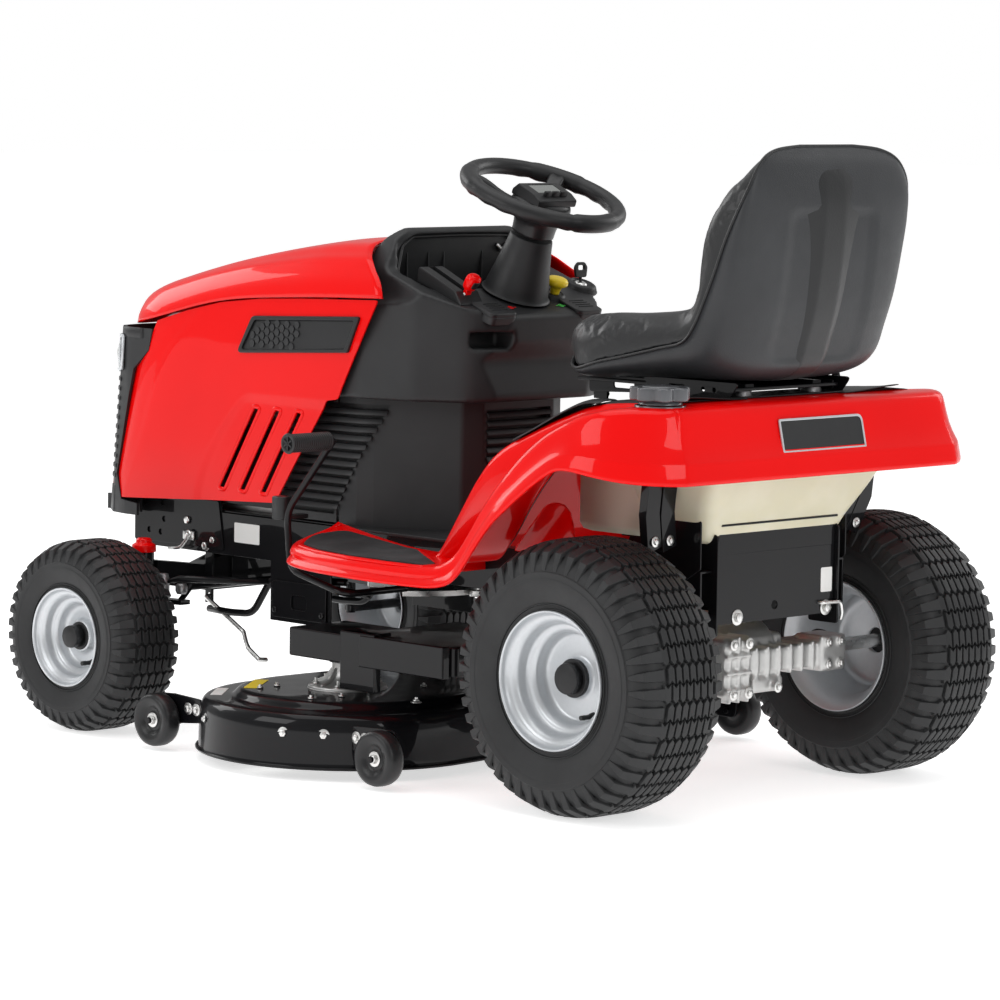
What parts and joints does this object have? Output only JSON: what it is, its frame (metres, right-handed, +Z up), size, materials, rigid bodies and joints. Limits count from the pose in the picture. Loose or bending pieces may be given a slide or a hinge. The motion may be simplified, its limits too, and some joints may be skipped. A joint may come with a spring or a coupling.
{
  "type": "riding lawn mower",
  "caption": "Front-engine riding lawn mower with tilting hood, bucket seat, steered front axle, lifting belly deck and turf wheels.",
  "frame": {"origin": "middle of the footprint, on the ground", "axes": "+Z up, -Y forward, +X to the operator's left"},
  "size_m": [1.234, 1.733, 1.156],
  "materials": {
    "gloss_paint": "high gloss red",
    "black_steel": "gloss black powder coat",
    "trim_plastic": "satin charcoal",
    "tank_plastic": "milky, translucent",
    "seat_vinyl": "soft vinyl with fine grain",
    "tyre_rubber": "matt rubber",
    "soft_grip": "soft touch",
    "wheel_plastic": "satin",
    "wheel_paint": "silver paint",
    "cast_metal": "as cast",
    "bright_steel": "zinc plated",
    "yellow_plastic": "gloss"
  },
  "bodies": {
    "chassis": {"frame_rail_left": "black_steel", "frame_rail_right": "black_steel", "frame_front_member": "black_steel", "rear_hitch_plate": "black_steel", "engine_block": "cast_metal", "muffler": "bright_steel", "battery": "trim_plastic", "dash_housing": "trim_plastic", "dash_tray": "trim_plastic", "lower_cowl": "trim_plastic", "column_cover": "trim_plastic", "fender_body": "gloss_paint", "fender_console": "trim_plastic", "fuel_tank": "tank_plastic", "transaxle": "cast_metal"},
    "hood": {"hood_top": "gloss_paint", "hood_side_left": "gloss_paint", "hood_side_right": "gloss_paint", "grille": "trim_plastic"},
    "seat_base": {"seat_pan": "black_steel"},
    "seat": {"seat_shell": "trim_plastic", "seat_cushion": "seat_vinyl"},
    "steering_wheel": {"steering_wheel": "soft_grip"},
    "steering_shaft": {"steering_shaft": "bright_steel"},
    "sector_gear": {"sector_gear": "bright_steel"},
    "front_axle": {"front_axle": "black_steel"},
    "spindle_left": {"spindle_left": "black_steel"},
    "spindle_right": {"spindle_right": "black_steel"},
    "tie_rod": {"tie_rod": "black_steel"},
    "drag_link": {"drag_link": "black_steel"},
    "wheel_front_left": {"tyre_front_left": "tyre_rubber", "rim_front_left": "wheel_paint"},
    "wheel_front_right": {"tyre_front_right": "tyre_rubber", "rim_front_right": "wheel_paint"},
    "wheel_rear_left": {"tyre_rear_left": "tyre_rubber", "rim_rear_left": "wheel_paint", "axle_shaft_left": "bright_steel"},
    "wheel_rear_right": {"tyre_rear_right": "tyre_rubber", "rim_rear_right": "wheel_paint", "axle_shaft_right": "bright_steel"},
    "deck": {"deck_shell": "black_steel", "spindle_housing_left": "cast_metal", "spindle_housing_right": "cast_metal"},
    "blade_left": {"blade_left": "bright_steel"},
    "blade_right": {"blade_right": "bright_steel"},
    "gauge_wheel_front_left": {"gauge_wheel_front_left": "wheel_plastic"},
    "gauge_wheel_front_right": {"gauge_wheel_front_right": "wheel_plastic"},
    "gauge_wheel_rear_left": {"gauge_wheel_rear_left": "wheel_plastic"},
    "gauge_wheel_rear_right": {"gauge_wheel_rear_right": "wheel_plastic"},
    "discharge_chute": {"discharge_chute": "trim_plastic"},
    "front_lift_rod": {"front_lift_rod": "bright_steel"},
    "brake_pedal": {"brake_pedal": "black_steel"},
    "drive_pedal": {"drive_pedal": "soft_grip"},
    "lift_lever": {"lift_lever": "black_steel"},
    "throttle_lever": {"throttle_lever": "gloss_paint"},
    "pto_knob": {"pto_knob": "yellow_plastic"},
    "ignition_key": {"ignition_key": "trim_plastic"},
    "park_brake_tab": {"park_brake_tab": "trim_plastic"},
    "cruise_tab": {"cruise_tab": "trim_plastic"},
    "fuel_cap": {"fuel_cap": "trim_plastic"}
  },
  "joints": [
    {"name": "axle_pivot", "type": "hinge", "parent": "chassis", "child": "front_axle", "pos_m": [0.073, -0.6635, 0.29], "axis": [0, 1, 0], "range_deg": [-6, 6]},
    {"name": "steering_turn", "type": "hinge", "parent": "chassis", "child": "steering_wheel", "pos_m": [0.073, 0.1355, 1.047], "axis": [0, 0.348, 0.9375], "range_deg": [-250, 250]},
    {"name": "steering_shaft_turn", "type": "hinge", "parent": "chassis", "child": "steering_shaft", "pos_m": [0.073, -0.0155, 0.45], "axis": [0, 0, 1], "range_deg": [-251, 251]},
    {"name": "sector_turn", "type": "hinge", "parent": "chassis", "child": "sector_gear", "pos_m": [0.073, -0.1855, 0.295], "axis": [0, 0, 1], "range_deg": [-34, 34]},
    {"name": "spindle_left_turn", "type": "hinge", "parent": "front_axle", "child": "spindle_left", "pos_m": [0.348, -0.6635, 0.29], "axis": [0, 0, 1], "range_deg": [-34, 34]},
    {"name": "spindle_right_turn", "type": "hinge", "parent": "front_axle", "child": "spindle_right", "pos_m": [-0.202, -0.6635, 0.29], "axis": [0, 0, 1], "range_deg": [-34, 34]},
    {"name": "tie_rod_swing", "type": "hinge", "parent": "spindle_left", "child": "tie_rod", "pos_m": [0.325, -0.5785, 0.27], "axis": [0, 0, 1], "range_deg": [-34, 34]},
    {"name": "drag_link_swing", "type": "hinge", "parent": "spindle_left", "child": "drag_link", "pos_m": [0.371, -0.5785, 0.27], "axis": [0, 0, 1], "range_deg": [-34, 34]},
    {"name": "wheel_front_left_spin", "type": "hinge", "parent": "spindle_left", "child": "wheel_front_left", "pos_m": [0.475, -0.6635, 0.183], "axis": [1, 0, 0], "continuous": true},
    {"name": "wheel_front_right_spin", "type": "hinge", "parent": "spindle_right", "child": "wheel_front_right", "pos_m": [-0.329, -0.6635, 0.183], "axis": [1, 0, 0], "continuous": true},
    {"name": "wheel_rear_left_spin", "type": "hinge", "parent": "chassis", "child": "wheel_rear_left", "pos_m": [0.443, 0.6265, 0.24], "axis": [1, 0, 0], "continuous": true},
    {"name": "wheel_rear_right_spin", "type": "hinge", "parent": "chassis", "child": "wheel_rear_right", "pos_m": [-0.297, 0.6265, 0.24], "axis": [1, 0, 0], "continuous": true},
    {"name": "hood_open", "type": "hinge", "parent": "chassis", "child": "hood", "pos_m": [0.073, -0.7685, 0.415], "axis": [1, 0, 0], "range_deg": [0, 60]},
    {"name": "seat_tilt", "type": "hinge", "parent": "chassis", "child": "seat_base", "pos_m": [0.073, 0.3865, 0.7], "axis": [1, 0, 0], "range_deg": [0, 50]},
    {"name": "seat_adjust", "type": "slide", "parent": "seat_base", "child": "seat", "axis": [0, 1, 0], "range_m": [-0.05, 0.05]},
    {"name": "brake_pedal_press", "type": "hinge", "parent": "chassis", "child": "brake_pedal", "pos_m": [0.273, -0.0165, 0.318], "axis": [1, 0, 0], "range_deg": [0, 22], "stiffness_Nm_per_rad": 20, "springref_deg": -22.92},
    {"name": "drive_pedal_rock", "type": "hinge", "parent": "chassis", "child": "drive_pedal", "pos_m": [-0.227, 0.0665, 0.35], "axis": [1, 0, 0], "range_deg": [-12, 12], "stiffness_Nm_per_rad": 25},
    {"name": "deck_height", "type": "slide", "parent": "chassis", "child": "deck", "axis": [0, 0, 1], "range_m": [0, 0.075]},
    {"name": "lift_lever_turn", "type": "hinge", "parent": "chassis", "child": "lift_lever", "pos_m": [-0.227, 0.5965, 0.52], "axis": [1, 0, 0], "range_deg": [-30.5, 0.5]},
    {"name": "front_lift_rod_swing", "type": "hinge", "parent": "chassis", "child": "front_lift_rod", "pos_m": [0.213, -0.6265, 0.242], "axis": [1, 0, 0], "range_deg": [-0.5, 24.5]},
    {"name": "gauge_wheel_front_left_spin", "type": "hinge", "parent": "deck", "child": "gauge_wheel_front_left", "pos_m": [0.548, -0.3885, 0.057], "axis": [1, 0, 0], "continuous": true},
    {"name": "gauge_wheel_front_right_spin", "type": "hinge", "parent": "deck", "child": "gauge_wheel_front_right", "pos_m": [-0.402, -0.3885, 0.057], "axis": [1, 0, 0], "continuous": true},
    {"name": "gauge_wheel_rear_left_spin", "type": "hinge", "parent": "deck", "child": "gauge_wheel_rear_left", "pos_m": [0.548, 0.2145, 0.057], "axis": [1, 0, 0], "continuous": true},
    {"name": "gauge_wheel_rear_right_spin", "type": "hinge", "parent": "deck", "child": "gauge_wheel_rear_right", "pos_m": [-0.402, 0.2145, 0.057], "axis": [1, 0, 0], "continuous": true},
    {"name": "blade_left_spin", "type": "hinge", "parent": "deck", "child": "blade_left", "pos_m": [0.345, -0.0855, 0.1], "axis": [0, 0, 1], "continuous": true},
    {"name": "blade_right_spin", "type": "hinge", "parent": "deck", "child": "blade_right", "pos_m": [-0.199, -0.0855, 0.1], "axis": [0, 0, 1], "continuous": true},
    {"name": "chute_flip", "type": "hinge", "parent": "deck", "child": "discharge_chute", "pos_m": [-0.473, -0.0935, 0.104], "axis": [0, 1, 0], "range_deg": [0, 80]},
    {"name": "throttle_move", "type": "hinge", "parent": "chassis", "child": "throttle_lever", "pos_m": [0.223, 0.0815, 0.855], "axis": [1, 0, 0], "range_deg": [-20, 25]},
    {"name": "pto_knob_pull", "type": "slide", "parent": "chassis", "child": "pto_knob", "axis": [0, 0.348, 0.9375], "range_m": [0, 0.012]},
    {"name": "key_turn", "type": "hinge", "parent": "chassis", "child": "ignition_key", "pos_m": [-0.125, 0.0345, 0.876], "axis": [0, 0.1414, 0.9899], "range_deg": [0, 60]},
    {"name": "park_brake_pull", "type": "hinge", "parent": "chassis", "child": "park_brake_tab", "pos_m": [0.193, 0.1045, 0.852], "axis": [1, 0, 0], "range_deg": [0, 20]},
    {"name": "cruise_pull", "type": "hinge", "parent": "chassis", "child": "cruise_tab", "pos_m": [-0.047, 0.1045, 0.852], "axis": [1, 0, 0], "range_deg": [0, 20]},
    {"name": "fuel_cap_turn", "type": "hinge", "parent": "chassis", "child": "fuel_cap", "pos_m": [0.403, 0.7445, 0.72], "axis": [0, 0, 1], "range_deg": [0, 180]}
  ],
  "couplings": [
    {"joint": "steering_shaft_turn", "follows": "steering_turn", "ratio": 1},
    {"joint": "sector_turn", "follows": "steering_turn", "ratio": -0.13333},
    {"joint": "spindle_left_turn", "follows": "steering_turn", "ratio": 0.13333},
    {"joint": "spindle_right_turn", "follows": "steering_turn", "ratio": 0.13333},
    {"joint": "tie_rod_swing", "follows": "steering_turn", "ratio": -0.13333},
    {"joint": "drag_link_swing", "follows": "steering_turn", "ratio": -0.13333},
    {"joint": "lift_lever_turn", "follows": "deck_height", "rad_per_m": -6.9813},
    {"joint": "front_lift_rod_swing", "follows": "deck_height", "rad_per_m": 5.5618},
    {"joint": "blade_right_spin", "follows": "blade_left_spin", "ratio": 1}
  ]
}
